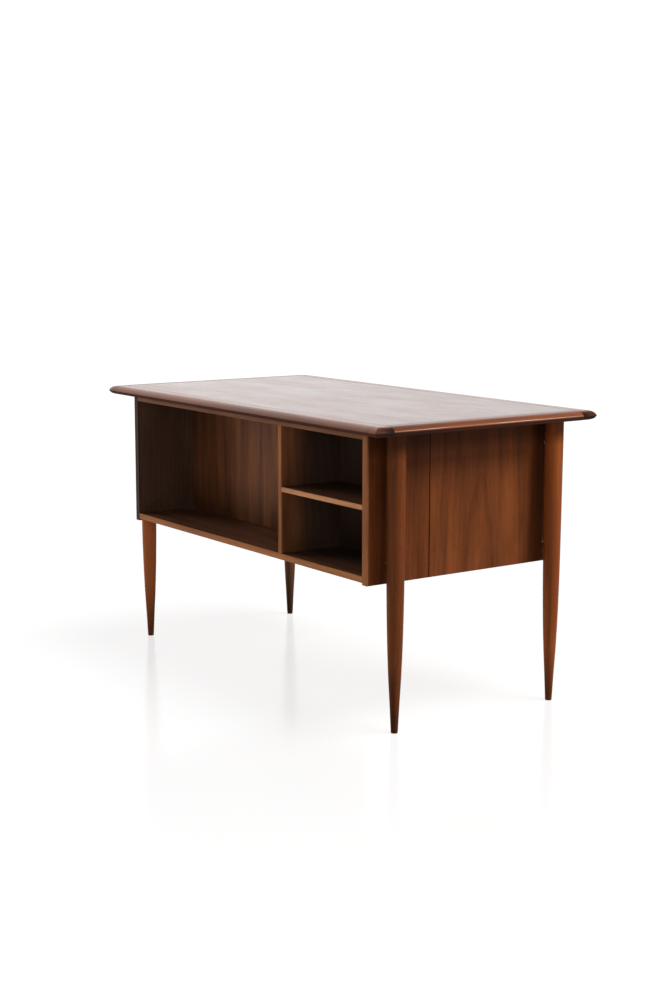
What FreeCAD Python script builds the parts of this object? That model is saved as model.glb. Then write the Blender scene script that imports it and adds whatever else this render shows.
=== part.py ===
import FreeCAD, Part
import math
import os
from FreeCAD import Vector

# A free-standing writing desk with a bookcase in its back and two drawer pedestals.
# Millimetres. The floor is Z = 0 and +Z is up. The sitter faces +Y, so the drawers
# open towards -Y, the bookcase faces +Y, and the sitter's left is -X. The origin is on
# the floor under the middle of the top.

# Desk top: a veneered panel between four solid lippings with a rounded, undercut edge.
TOP_LENGTH = 1275.0
TOP_DEPTH = 680.0
DESK_HEIGHT = 730.0
TOP_THICKNESS = 24.0
EDGE_DROP = 13.0            # from the top face down to the tip of the edge
EDGE_ROUND = 22.0           # width of the rounded band above the tip
EDGE_UNDERCUT = 20.0        # width of the hollowed-back band below the tip
LONG_LIPPING_WIDTH = 50.0
END_LIPPING_WIDTH = 40.0
CORNER_SWEEP = 4.0          # how far the ends of the long lippings are swept back
CORNER_RADIUS = 6.0         # of the corners, seen from above
CORNER_FLATS = 2            # planed flats that round a corner

# Carcass: the bookcase behind, a pedestal at each end in front of it.
TOP_END_OVERHANG = 86.5     # of the desk top past the outer faces of the end panels
TOP_LONG_OVERHANG = 37.5    # of the desk top past the carcass, in front and behind
CARCASS_CLEARANCE = 352.0   # from the floor to the lower edges of the end panels
END_THICKNESS = 19.0
DECK_THICKNESS = 14.0       # the panels under the desk top
BASE_THICKNESS = 15.5       # the bottom panels
BASE_RAISE = 5.0            # bottom panels above the lower edges of the end panels
BOOKCASE_DEPTH = 183.0
BACK_THICKNESS = 5.0
DIVIDER_THICKNESS = 14.0
DIVIDER_OFFSET = 188.0      # from the desk's middle towards the sitter's left
SHELF_THICKNESS = 12.0
SHELF_RISE = 155.7          # from the bookcase's bottom panel to the shelf's underside
SHELF_CLEARANCE = 0.5
SHELF_PIN_DIAMETER = 6.0
SHELF_PIN_LENGTH = 18.0
SHELF_PIN_HOLE = 8.0        # how deep a pin sits in its panel
SHELF_PIN_SHARES = (0.2, 0.8)
PEDESTAL_WIDTH = 300.0
INNER_SIDE_THICKNESS = 16.0
ARRIS = 0.8                 # rounding of the edges of every solid panel

# Legs: turned, standing off the end panels on spacers, bolted from inside.
LEG_TOP_DIAMETER = 46.0
LEG_FOOT_DIAMETER = 16.5
LEG_STAND_OFF = 9.0         # gap between a leg's thickest part and the end panel
LEG_SET_IN = 58.8           # from the end panel's front or rear edge to a leg's axis
# Height as a share of the leg's length, and growth as a share from foot to top.
LEG_PROFILE_SHARES = (
    (0.0, 0.0), (0.10, 0.235), (0.205, 0.51), (0.34, 0.73), (0.50, 0.858), (0.75, 0.94), (1.0, 1.0),
)
LEG_FIXING_SHARES = (0.14, 0.84)   # heights of the bolts, as shares of the end panel's height
SPACER_DIAMETER = 10.0
BOLT_DIAMETER = 5.0
BOLT_HEAD_DIAMETER = 11.0
BOLT_HEAD_LENGTH = 5.0
BOLT_PAST_AXIS = 5.0        # how far a bolt runs past the leg's axis

# Screws that hold the top, driven up through the deck panels.
SCREW_DIAMETER = 4.0
SCREW_HEAD_DIAMETER = 8.0
SCREW_HEAD_LENGTH = 3.0
SCREW_BITE = 15.0           # length inside the desk top
BOOKCASE_SCREW_SHARES = (-0.44, -0.12, 0.12, 0.44)   # of the carcass length
PEDESTAL_SCREW_SHARES = (0.2, 0.8)                   # of the pedestal's depth

# Drawers: inset fronts, boxes grooved at the sides and hung on runners.
DRAWER_LEVELS = ("lower", "middle", "upper")
FRONT_THICKNESS = 18.0
FRONT_GAP = 2.0             # between fronts, and half of it at the opening's edges
FRONT_SET_BACK = 2.0        # behind the front edges of the pedestal
FRONT_LAP = 12.0            # how far the sides' dovetails are let into the front
DOVETAILS = 3               # tails at the front end of a drawer side
DOVETAIL_PIN = 4.0          # width of the pins between the tails, at their narrow ends
DOVETAIL_FLARE = 2.0        # growth of a pin on each side, up to its wide end
BOX_THICKNESS = 11.0        # sides and back
BOX_SIDE_CLEARANCE = 1.5
BOX_TOP_DROP = 14.0         # side's upper edge below the front's
BOX_BOTTOM_RAISE = 5.0      # side's lower edge above the front's
BOX_REAR_CLEARANCE = 8.0
BACK_DROP = 4.0             # back's upper edge below the sides'
DRAWER_BOTTOM_THICKNESS = 5.0
DRAWER_BOTTOM_RAISE = 8.0   # drawer bottom above the sides' lower edges
DRAWER_BOTTOM_GROOVE = 5.0
RUNNER_HEIGHT = 14.0
RUNNER_WIDTH = 8.0
RUNNER_GROOVE_FLOOR = 1.0   # room between a runner and the bottom of its groove
KNOB_DIAMETER = 28.0
KNOB_NECK_DIAMETER = 13.0
KNOB_PROJECTION = 24.0
KNOB_TENON_DIAMETER = 8.0
KNOB_TENON_LENGTH = 12.0
KNOB_RIM_SHARE = 0.62       # where the head is widest, as a share of the projection
KNOB_FLARE_SHARES = (0.36, 0.3)   # a point of the hollow flare: along, and from neck to rim

SLIDE_CLEARANCE = 0.3       # between a runner and the drawer that slides on it
FIT_CLEARANCE = 0.05        # round a pin, bolt, screw or tenon in its hole
OVERRUN = 1.0               # how far a cut runs out past the face that it opens

# Places that several pieces share.
CARCASS_LENGTH = TOP_LENGTH - 2 * TOP_END_OVERHANG
CARCASS_DEPTH = TOP_DEPTH - 2 * TOP_LONG_OVERHANG
TOP_UNDERSIDE = DESK_HEIGHT - TOP_THICKNESS
END_HEIGHT = TOP_UNDERSIDE - CARCASS_CLEARANCE
END_OUTER = CARCASS_LENGTH / 2
END_INNER = END_OUTER - END_THICKNESS
REAR = CARCASS_DEPTH / 2
FRONT = -CARCASS_DEPTH / 2
JOINT = REAR - BOOKCASE_DEPTH
DECK_UNDERSIDE = TOP_UNDERSIDE - DECK_THICKNESS
BASE_UNDERSIDE = CARCASS_CLEARANCE + BASE_RAISE
BASE_TOP = BASE_UNDERSIDE + BASE_THICKNESS
BACK_FACE = JOINT + BACK_THICKNESS
DIVIDER = (-DIVIDER_OFFSET - DIVIDER_THICKNESS / 2, -DIVIDER_OFFSET + DIVIDER_THICKNESS / 2)
SHELF_UNDERSIDE = BASE_TOP + SHELF_RISE
LEG_AXIS = END_OUTER + LEG_STAND_OFF + LEG_TOP_DIAMETER / 2
OPENING_INNER = END_OUTER - PEDESTAL_WIDTH + INNER_SIDE_THICKNESS
FRONT_REAR_FACE = FRONT + FRONT_SET_BACK + FRONT_THICKNESS
SIDES = {"left": -1, "right": 1}
LEG_ROWS = {"front": FRONT + LEG_SET_IN, "rear": REAR - LEG_SET_IN}


def box(x, y, z):
    """A box from its (low, high) reach along each axis."""
    return Part.makeBox(x[1] - x[0], y[1] - y[0], z[1] - z[0], Vector(x[0], y[0], z[0]))


def panel(x, y, z):
    """A board with eased edges, from its (low, high) reach along each axis."""
    board = box(x, y, z)
    return board.makeFillet(ARRIS, board.Edges)


def reach(side, near, far):
    """The (low, high) reach along X of a piece between two distances from the middle."""
    return tuple(sorted((side * near, side * far)))


def rod(radius, start, end):
    """A round bar between two points."""
    along = end - start
    return Part.makeCylinder(radius, along.Length, start, along)


def group(solids):
    """Separate solids that share one node."""
    return Part.Compound(solids)


def cut_all(shape, tools):
    """A solid with every tool cut out of it."""
    return shape.cut(group(tools)).Solids[0]


def arc_middle(run, drop):
    """Run and drop at the middle of an arc that leaves level and falls by drop over run."""
    radius = (run ** 2 + drop ** 2) / (2 * drop)
    half_turn = math.atan2(drop, run)
    return radius * math.sin(half_turn), radius * (1 - math.cos(half_turn))


def edge_prism(half_width, length, degrees):
    """A slab with the desk's edge profile on two opposite sides, turned about Z."""
    tip = DESK_HEIGHT - EDGE_DROP
    upper_run, upper_drop = arc_middle(EDGE_ROUND, EDGE_DROP)
    lower_run, lower_rise = arc_middle(EDGE_UNDERCUT, tip - TOP_UNDERSIDE)
    flat = half_width - EDGE_ROUND
    foot = half_width - EDGE_UNDERCUT

    def point(across, height):
        return Vector(across, -length / 2, height)

    def side_points(sign):
        return (
            point(sign * flat, DESK_HEIGHT),
            point(sign * (flat + upper_run), DESK_HEIGHT - upper_drop),
            point(sign * half_width, tip),
            point(sign * (foot + lower_run), TOP_UNDERSIDE + lower_rise),
            point(sign * foot, TOP_UNDERSIDE),
        )

    right = side_points(1)
    left = side_points(-1)
    edges = [
        Part.LineSegment(left[0], right[0]).toShape(),
        Part.Arc(right[0], right[1], right[2]).toShape(),
        Part.Arc(right[2], right[3], right[4]).toShape(),
        Part.LineSegment(right[4], left[4]).toShape(),
        Part.Arc(left[4], left[3], left[2]).toShape(),
        Part.Arc(left[2], left[1], left[0]).toShape(),
    ]
    slab = Part.Face(Part.Wire(edges)).extrude(Vector(0, length, 0))
    slab.rotate(Vector(0, 0, 0), Vector(0, 0, 1), degrees)
    return slab


def top_slab():
    """The whole desk top: two pairs of profiled edges and four swept, rounded corners."""
    half_length = TOP_LENGTH / 2
    half_depth = TOP_DEPTH / 2
    diagonal = TOP_LENGTH + TOP_DEPTH
    slab = edge_prism(half_length, diagonal, 0).common(edge_prism(half_depth, diagonal, 90))
    slope = math.hypot(LONG_LIPPING_WIDTH, CORNER_SWEEP)
    joint_end = half_depth - LONG_LIPPING_WIDTH
    corner_distance = (LONG_LIPPING_WIDTH * half_length + CORNER_SWEEP * joint_end) / slope
    sweep = math.atan2(CORNER_SWEEP, LONG_LIPPING_WIDTH)
    centre_y = half_depth - CORNER_RADIUS
    centre_x = (corner_distance - CORNER_RADIUS - centre_y * math.sin(sweep)) / math.cos(sweep)
    for flat in range(CORNER_FLATS + 1):
        turn = sweep + (math.pi / 2 - sweep) * flat / (CORNER_FLATS + 1)
        distance = centre_x * math.cos(turn) + centre_y * math.sin(turn) + CORNER_RADIUS
        for degrees in (math.degrees(turn), -math.degrees(turn)):
            slab = slab.common(edge_prism(distance, diagonal, degrees))
    return slab


def desk_top():
    """The veneered panel, drilled for its screws, and the four lippings round it."""
    slab = top_slab()
    height = (TOP_UNDERSIDE, DESK_HEIGHT)
    panel_x = TOP_LENGTH / 2 - END_LIPPING_WIDTH
    panel_y = TOP_DEPTH / 2 - LONG_LIPPING_WIDTH
    whole_x = (-TOP_LENGTH / 2, TOP_LENGTH / 2)
    field = slab.common(box((-panel_x, panel_x), (-panel_y, panel_y), height))
    pieces = {
        "top_panel": cut_all(field, top_screws(FIT_CLEARANCE)),
        "top_lipping_front": slab.common(box(whole_x, (-TOP_DEPTH / 2, -panel_y), height)),
        "top_lipping_rear": slab.common(box(whole_x, (panel_y, TOP_DEPTH / 2), height)),
    }
    for name, side in SIDES.items():
        end = box(reach(side, panel_x, TOP_LENGTH / 2), (-panel_y, panel_y), height)
        pieces["top_lipping_" + name] = slab.common(end)
    return pieces


def top_screw(x, y, extra):
    """One screw up through a deck panel into the desk top, head flush below."""
    seat = Vector(x, y, DECK_UNDERSIDE)
    tip = Vector(x, y, TOP_UNDERSIDE + SCREW_BITE + extra)
    head_top = Vector(x, y, DECK_UNDERSIDE + SCREW_HEAD_LENGTH + extra)
    shank = rod(SCREW_DIAMETER / 2 + extra, seat, tip)
    return shank.fuse(rod(SCREW_HEAD_DIAMETER / 2 + extra, seat, head_top)).Solids[0]


def top_screws(extra=0):
    """All the screws that hold the top, or their holes when given a clearance."""
    places = []
    for share in BOOKCASE_SCREW_SHARES:
        places.append((share * CARCASS_LENGTH, (JOINT + REAR) / 2))
    for side in SIDES.values():
        for share in PEDESTAL_SCREW_SHARES:
            middle = side * (END_INNER + OPENING_INNER) / 2
            places.append((middle, FRONT + share * (JOINT - FRONT)))
    return [top_screw(x, y, extra) for x, y in places]


def leg_bolt(side, y, z, extra):
    """One bolt from inside the carcass through panel and spacer into a leg."""
    seat = Vector(side * END_INNER, y, z)
    head_end = Vector(side * (END_INNER + BOLT_HEAD_LENGTH + extra), y, z)
    tip = Vector(side * (LEG_AXIS + BOLT_PAST_AXIS + extra), y, z)
    shank = rod(BOLT_DIAMETER / 2 + extra, seat, tip)
    return shank.fuse(rod(BOLT_HEAD_DIAMETER / 2 + extra, seat, head_end)).Solids[0]


def fixing_heights():
    """Heights of the bolts and spacers of every leg."""
    return [CARCASS_CLEARANCE + share * END_HEIGHT for share in LEG_FIXING_SHARES]


def leg_bolts(side, y, extra=0):
    """The bolts of one leg, or their holes when given a clearance."""
    return [leg_bolt(side, y, z, extra) for z in fixing_heights()]


def turned_leg(side, y, extra=0):
    """A leg turned round its axis, swelling from the foot in one convex line."""
    foot = LEG_FOOT_DIAMETER / 2
    growth = LEG_TOP_DIAMETER / 2 - foot
    outline = []
    for height_share, growth_share in LEG_PROFILE_SHARES:
        radius = foot + growth * growth_share + extra
        outline.append(Vector(radius, 0, TOP_UNDERSIDE * height_share))
    curve = Part.BSplineCurve()
    curve.interpolate(outline)
    floor = Vector(0, 0, 0)
    head = Vector(0, 0, TOP_UNDERSIDE)
    edges = [
        Part.LineSegment(floor, outline[0]).toShape(),
        curve.toShape(),
        Part.LineSegment(outline[-1], head).toShape(),
        Part.LineSegment(head, floor).toShape(),
    ]
    leg = Part.Face(Part.Wire(edges)).revolve(floor, Vector(0, 0, 1), 360)
    leg.translate(Vector(side * LEG_AXIS, y, 0))
    return leg


def legs():
    """The four legs with their bolt holes, their spacers and their bolts."""
    pieces = {}
    spacers = []
    bolts = []
    for row, y in LEG_ROWS.items():
        for name, side in SIDES.items():
            holes = leg_bolts(side, y, FIT_CLEARANCE)
            pieces["leg_%s_%s" % (row, name)] = cut_all(turned_leg(side, y), holes)
            bolts += leg_bolts(side, y)
            for z in fixing_heights():
                disc = rod(SPACER_DIAMETER / 2, Vector(side * END_OUTER, y, z), Vector(side * LEG_AXIS, y, z))
                spacers.append(cut_all(disc, [turned_leg(side, y, FIT_CLEARANCE)] + holes))
    pieces["leg_spacers"] = group(spacers)
    pieces["leg_bolts"] = group(bolts)
    return pieces


def shelf_pins(extra=0):
    """The pins under the shelf, or their holes when given a clearance."""
    radius = SHELF_PIN_DIAMETER / 2
    z = SHELF_UNDERSIDE - radius - FIT_CLEARANCE
    pins = []
    for share in SHELF_PIN_SHARES:
        y = BACK_FACE + share * (REAR - BACK_FACE)
        for face, inward in ((-END_INNER, 1), (DIVIDER[0], -1)):
            deep = Vector(face - inward * (SHELF_PIN_HOLE + extra), y, z)
            tip = Vector(face + inward * (SHELF_PIN_LENGTH - SHELF_PIN_HOLE), y, z)
            pins.append(rod(radius + extra, deep, tip))
    return pins


def bookcase():
    """The bookcase that makes the desk's back: ends, deck, bottom, back, divider and shelf."""
    depth = (JOINT, REAR)
    inside_depth = (BACK_FACE, REAR)
    inside_height = (BASE_TOP, DECK_UNDERSIDE)
    width = (-END_INNER, END_INNER)
    pin_holes = shelf_pins(FIT_CLEARANCE)
    shelf_x = (-END_INNER + SHELF_CLEARANCE, DIVIDER[0] - SHELF_CLEARANCE)
    shelf_z = (SHELF_UNDERSIDE, SHELF_UNDERSIDE + SHELF_THICKNESS)
    deck = panel(width, depth, (DECK_UNDERSIDE, TOP_UNDERSIDE))
    pieces = {
        "bookcase_top": cut_all(deck, top_screws(FIT_CLEARANCE)),
        "bookcase_bottom": panel(width, depth, (BASE_UNDERSIDE, BASE_TOP)),
        "bookcase_back": box(width, (JOINT, BACK_FACE), inside_height),
        "bookcase_divider": cut_all(panel(DIVIDER, inside_depth, inside_height), pin_holes),
        "bookcase_shelf": panel(shelf_x, inside_depth, shelf_z),
        "shelf_pins": group(shelf_pins()),
    }
    for name, side in SIDES.items():
        end = panel(reach(side, END_INNER, END_OUTER), depth, (CARCASS_CLEARANCE, TOP_UNDERSIDE))
        holes = pin_holes + leg_bolts(side, LEG_ROWS["rear"], FIT_CLEARANCE)
        pieces["bookcase_end_" + name] = cut_all(end, holes)
    return pieces


def pedestal(name, side):
    """One drawer pedestal: outer and inner side, bottom and deck panel."""
    depth = (FRONT, JOINT)
    width = reach(side, OPENING_INNER, END_INNER)
    outer = panel(reach(side, END_INNER, END_OUTER), depth, (CARCASS_CLEARANCE, TOP_UNDERSIDE))
    inner = reach(side, OPENING_INNER - INNER_SIDE_THICKNESS, OPENING_INNER)
    deck = panel(width, depth, (DECK_UNDERSIDE, TOP_UNDERSIDE))
    start = "pedestal_" + name
    return {
        start + "_outer_side": cut_all(outer, leg_bolts(side, LEG_ROWS["front"], FIT_CLEARANCE)),
        start + "_inner_side": panel(inner, depth, (CARCASS_CLEARANCE, TOP_UNDERSIDE)),
        start + "_bottom": panel(width, depth, (BASE_UNDERSIDE, BASE_TOP)),
        start + "_top": cut_all(deck, top_screws(FIT_CLEARANCE)),
    }


def front_height(level):
    """The (low, high) reach of a drawer front, counted from the lowest drawer."""
    pitch = (DECK_UNDERSIDE - BASE_TOP) / len(DRAWER_LEVELS)
    low = BASE_TOP + level * pitch
    return (low + FRONT_GAP / 2, low + pitch - FRONT_GAP / 2)


def box_height(level):
    """The (low, high) reach of the sides of a drawer."""
    low, high = front_height(level)
    return (low + BOX_BOTTOM_RAISE, high - BOX_TOP_DROP)


def runner_height(level):
    """The (low, high) reach of a runner, at the middle of the drawer's sides."""
    low, high = box_height(level)
    return ((low + high - RUNNER_HEIGHT) / 2, (low + high + RUNNER_HEIGHT) / 2)


def runners():
    """A runner on each side of every drawer. Its front end stops the closing drawer."""
    length = (FRONT_REAR_FACE + SLIDE_CLEARANCE, JOINT - BOX_REAR_CLEARANCE)
    spans = ((OPENING_INNER, OPENING_INNER + RUNNER_WIDTH), (END_INNER - RUNNER_WIDTH, END_INNER))
    bars = []
    for side in SIDES.values():
        for level in range(len(DRAWER_LEVELS)):
            for near, far in spans:
                bars.append(box(reach(side, near, far), length, runner_height(level)))
    return group(bars)


def dovetail_gaps(x, level):
    """The gaps between the tails of a drawer side, which the pins of the front fill."""
    low, high = box_height(level)
    tip = FRONT_REAR_FACE - FRONT_LAP
    narrow = DOVETAIL_PIN / 2
    wide = narrow + DOVETAIL_FLARE
    gaps = []
    for place in range(DOVETAILS + 1):
        middle = low + (high - low) * place / DOVETAILS
        corners = [
            Vector(x[0], tip, middle - narrow), Vector(x[0], FRONT_REAR_FACE, middle - wide),
            Vector(x[0], FRONT_REAR_FACE, middle + wide), Vector(x[0], tip, middle + narrow),
        ]
        outline = Part.makePolygon(corners + corners[:1])
        gaps.append(Part.Face(outline).extrude(Vector(x[1] - x[0], 0, 0)))
    return gaps


def drawer_sides(side, level):
    """The two sides of a drawer, dovetailed in front and grooved outside for the runners."""
    length = (FRONT_REAR_FACE - FRONT_LAP, JOINT - BOX_REAR_CLEARANCE)
    low, high = runner_height(level)
    groove_z = (low - SLIDE_CLEARANCE, high + SLIDE_CLEARANCE)
    groove_y = (FRONT_REAR_FACE, JOINT)
    inner_face = OPENING_INNER + BOX_SIDE_CLEARANCE
    outer_face = END_INNER - BOX_SIDE_CLEARANCE
    deep = RUNNER_WIDTH + RUNNER_GROOVE_FLOOR
    spans = (
        (inner_face, inner_face + BOX_THICKNESS, OPENING_INNER, OPENING_INNER + deep),
        (outer_face - BOX_THICKNESS, outer_face, END_INNER - deep, END_INNER),
    )
    pieces = []
    for near, far, groove_near, groove_far in spans:
        width = reach(side, near, far)
        groove = box(reach(side, groove_near, groove_far), groove_y, groove_z)
        blank = box(width, length, box_height(level))
        pieces.append(cut_all(blank, [groove] + dovetail_gaps(width, level)))
    return pieces


def dovetail_sockets(side, sides):
    """What the sides take out of a drawer front, whose sockets are open at its ends."""
    lip = BOX_SIDE_CLEARANCE - FRONT_GAP / 2 + OVERRUN
    sockets = list(sides)
    for piece, outward in zip(sides, (-side, side)):
        sockets.append(piece.translated(Vector(outward * lip, 0, 0)))
    return sockets


def drawer_bottom(side, level):
    """The thin bottom of a drawer, held in grooves and running under its back."""
    low = box_height(level)[0] + DRAWER_BOTTOM_RAISE
    wall = BOX_SIDE_CLEARANCE + BOX_THICKNESS - DRAWER_BOTTOM_GROOVE
    length = (FRONT_REAR_FACE - DRAWER_BOTTOM_GROOVE, JOINT - BOX_REAR_CLEARANCE)
    width = reach(side, OPENING_INNER + wall, END_INNER - wall)
    return box(width, length, (low, low + DRAWER_BOTTOM_THICKNESS))


def knob(x, z, extra=0):
    """A turned knob: tenon in the front, hollow flare, rim and domed face."""
    face = FRONT + FRONT_SET_BACK
    neck = KNOB_NECK_DIAMETER / 2
    rim = KNOB_DIAMETER / 2
    tenon = KNOB_TENON_DIAMETER / 2 + extra
    flare_along, flare_out = KNOB_FLARE_SHARES
    rim_along = KNOB_RIM_SHARE * KNOB_PROJECTION
    dome_out, dome_drop = arc_middle(rim, KNOB_PROJECTION - rim_along)

    def point(radius, along):
        return Vector(radius, face - along, 0)

    root = point(0, -KNOB_TENON_LENGTH - extra)
    crown = point(0, KNOB_PROJECTION)
    corners = [root, point(tenon, -KNOB_TENON_LENGTH - extra), point(tenon, 0), point(neck, 0)]
    widest = point(rim, rim_along)
    flare = point(neck + flare_out * (rim - neck), flare_along * KNOB_PROJECTION)
    dome = point(dome_out, KNOB_PROJECTION - dome_drop)
    edges = [Part.LineSegment(a, b).toShape() for a, b in zip(corners, corners[1:])]
    edges.append(Part.Arc(corners[-1], flare, widest).toShape())
    edges.append(Part.Arc(widest, dome, crown).toShape())
    edges.append(Part.LineSegment(crown, root).toShape())
    turned = Part.Face(Part.Wire(edges)).revolve(Vector(0, 0, 0), Vector(0, 1, 0), 360)
    turned.translate(Vector(x, 0, z))
    return turned


def drawer(side, level):
    """The pieces of one drawer, by the last word of their names."""
    low, high = front_height(level)
    middle = (side * (OPENING_INNER + END_INNER) / 2, (low + high) / 2)
    sides = drawer_sides(side, level)
    bottom = drawer_bottom(side, level)
    gap = FRONT_GAP / 2
    width = reach(side, OPENING_INNER + gap, END_INNER - gap)
    blank = panel(width, (FRONT + FRONT_SET_BACK, FRONT_REAR_FACE), (low, high))
    wall = BOX_SIDE_CLEARANCE + BOX_THICKNESS
    rear = JOINT - BOX_REAR_CLEARANCE
    back_z = (bottom.BoundBox.ZMax, box_height(level)[1] - BACK_DROP)
    back_x = reach(side, OPENING_INNER + wall, END_INNER - wall)
    return {
        "front": cut_all(blank, dovetail_sockets(side, sides) + [bottom, knob(*middle, FIT_CLEARANCE)]),
        "sides": group([cut_all(piece, [bottom]) for piece in sides]),
        "back": box(back_x, (rear - BOX_THICKNESS, rear), back_z),
        "bottom": bottom,
        "knob": knob(*middle),
    }


def all_pieces():
    """Every node's shape under its name."""
    pieces = {}
    pieces.update(desk_top())
    pieces["top_screws"] = group(top_screws())
    pieces.update(bookcase())
    for name, side in SIDES.items():
        pieces.update(pedestal(name, side))
    pieces["drawer_runners"] = runners()
    pieces.update(legs())
    for name, side in SIDES.items():
        for level, level_name in enumerate(DRAWER_LEVELS):
            for word, shape in drawer(side, level).items():
                pieces["drawer_%s_%s_%s" % (name, level_name, word)] = shape
    return pieces


os.makedirs("parts", exist_ok=True)
for node, shape in all_pieces().items():
    shape.exportStep("parts/%s.step" % node)
    print(node, len(shape.Solids), "solids", shape.isValid(), round(shape.Volume))
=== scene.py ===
"""Dresses the writing desk: turns its legs and knobs, finishes its wood and metal, and sets the studio."""

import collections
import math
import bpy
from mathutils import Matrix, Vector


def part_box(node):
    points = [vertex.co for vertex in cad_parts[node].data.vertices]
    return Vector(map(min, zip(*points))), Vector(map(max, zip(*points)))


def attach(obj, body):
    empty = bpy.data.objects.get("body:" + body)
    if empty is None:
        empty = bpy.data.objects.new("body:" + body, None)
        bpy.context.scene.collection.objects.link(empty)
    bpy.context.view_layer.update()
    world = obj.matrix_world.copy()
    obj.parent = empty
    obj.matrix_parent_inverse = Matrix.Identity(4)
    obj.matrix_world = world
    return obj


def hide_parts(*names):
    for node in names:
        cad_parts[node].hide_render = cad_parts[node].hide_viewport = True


bl_info = {
    "name": "Writing Desk Finish",
    "version": (1, 0, 0),
    "blender": (4, 5, 0),
    "location": "View3D > Sidebar > Desk",
    "description": "Turned legs and knobs, wood and metal finishes and a studio for a writing desk",
    "category": "Object",
}

import bmesh
import bpy
from bpy.props import FloatProperty, FloatVectorProperty, IntProperty, PointerProperty
from mathutils import Matrix, Vector
from mathutils.geometry import interpolate_bezier

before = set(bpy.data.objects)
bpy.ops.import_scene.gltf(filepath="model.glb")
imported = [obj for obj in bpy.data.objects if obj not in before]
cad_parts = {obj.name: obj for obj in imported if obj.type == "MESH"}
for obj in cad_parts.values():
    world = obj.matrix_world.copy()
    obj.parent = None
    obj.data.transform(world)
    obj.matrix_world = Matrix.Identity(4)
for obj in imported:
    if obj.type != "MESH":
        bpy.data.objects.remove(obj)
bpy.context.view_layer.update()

MM = 0.001
DESK = "desk"
SIDES = ("left", "right")
ROWS = ("front", "rear")
LEVELS = ("lower", "middle", "upper")
DRAWERS = ["drawer_%s_%s" % (side, level) for side in SIDES for level in LEVELS]
LEGS = ["leg_%s_%s" % (row, side) for row in ROWS for side in SIDES]

# How a board lies: the axes across its grain, through its thickness and along its grain.
Lay = collections.namedtuple("Lay", "across through along")
FLAT_LENGTHWAYS = Lay("Y", "Z", "X")
FLAT_DEEPWAYS = Lay("X", "Z", "Y")
FRONT_LENGTHWAYS = Lay("Z", "Y", "X")
SIDE_UPRIGHT = Lay("Y", "X", "Z")
SIDE_DEEPWAYS = Lay("Z", "X", "Y")
BACK_UPRIGHT = Lay("X", "Y", "Z")

# How a board was cut: the log's heart (across, through, along), its lean and its ring width.
Cut = collections.namedtuple("Cut", "heart lean ring")

# How strongly a wood is figured: darkness of ring lines, streaks, pores and clouds, and widths of bands
# and pores. Real pores are too fine to show at this distance, so they are drawn coarser.
Figure = collections.namedtuple("Figure", "lines streaks pores mottle band_width pore_width")
VENEER_FIGURE = Figure(0.30, 0.22, 0.28, 0.34, 38 * MM, 1.2 * MM)
SOLID_FIGURE = Figure(0.24, 0.26, 0.26, 0.22, 26 * MM, 1.2 * MM)
BACK_FIGURE = Figure(0.16, 0.14, 0.24, 0.30, 38 * MM, 1.2 * MM)
OAK_FIGURE = Figure(0.50, 0.50, 0.55, 0.20, 24 * MM, 0.8 * MM)
BEECH_FIGURE = Figure(0.25, 0.35, 0.50, 0.15, 40 * MM, 0.7 * MM)

# How a wood is finished: roughness of smooth and dull places, clear coat where worn and whole,
# specular level and the waviness of its surface.
Finish = collections.namedtuple("Finish", "smooth dull worn_coat whole_coat specular waviness")
LACQUERED = Finish(0.16, 0.24, 0.32, 0.68, 0.5, 0.8 * MM)
POLISHED = Finish(0.18, 0.28, 0.26, 0.46, 0.5, 0.5 * MM)
RUBBED = Finish(0.24, 0.34, 0.16, 0.34, 0.5, 0.3 * MM)
OILED = Finish(0.36, 0.50, 0.0, 0.0, 0.12, 0.3 * MM)
WAXED = Finish(0.34, 0.46, 0.0, 0.0, 0.14, 0.5 * MM)
BARE = Finish(0.50, 0.65, 0.0, 0.0, 0.2, 0.3 * MM)

# The noise behind a pattern in the wood: its pace along the grain as a share of that across it, its
# detail and its roughness.
Noise = collections.namedtuple("Noise", "pace detail roughness")
SWAY = Noise(0.16, 3.0, 0.55)
BANDS = Noise(0.035, 2.0, 0.5)
STREAKS = Noise(0.035, 3.0, 0.6)
PORES = Noise(0.05, 1.0, 0.5)
CLOUDS = Noise(0.35, 4.0, 0.6)
SWAY_WIDTH = 70 * MM
SWAY_REACH = 22 * MM
STREAK_WIDTH = 7 * MM
CLOUD_WIDTH = 110 * MM
PORE_DEPTH = 0.2 * MM
PORE_RELIEF_SHARE = 0.25
TARNISH_DETAIL = 4.0

# A wave texture goes through this many radians for each unit of its scale.
WAVE_PACE = 20
LATE_WOOD_POWER = 3.0

# Where a pattern starts to show and where it shows in full.
Span = collections.namedtuple("Span", "start full")
PORE_SPAN = Span(0.57, 0.70)
CLOUD_SPAN = Span(0.42, 0.68)
LINE_SPAN = Span(0.40, 0.62)
BAND_SPAN = Span(0.34, 0.66)
STREAK_SPAN = Span(0.42, 0.80)
GLINT_SPAN = Span(0.44, 0.60)
END_GRAIN_SPAN = Span(0.20, 0.55)
DULL_SPAN = Span(0.30, 0.70)
COAT_SPAN = Span(0.36, 0.62)
TARNISH_SPAN = Span(0.40, 0.65)
WEAR_SPAN = Span(0.35, 0.65)
FAINT_LINE_SHARE = 0.2
BAND_SHARE = 0.8
LEAST_GLINT_SHARE = 0.2
TARNISH_SHARE = 0.5

# A stretch along an axis that has another colour, which fades out over a short way past its ends.
# A zone within another holds only where both do.
Zone = collections.namedtuple("Zone", "axis low high fade tint within", defaults=(None, None))
CRISP = 0.2 * MM

# Painted light and shade: each leg's tone is raised or lowered to the light that falls on it, and the front
# right leg is darkest, as if in shade. Multiples of red, green and blue.
LEG_LIGHTING = {
    "leg_rear_left": (1.0, 1.0, 1.0),
    "leg_front_left": (1.75, 1.65, 1.4),
    "leg_rear_right": (2.1, 2.1, 2.1),
    "leg_front_right": (0.65, 1.0, 1.8),
}

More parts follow.
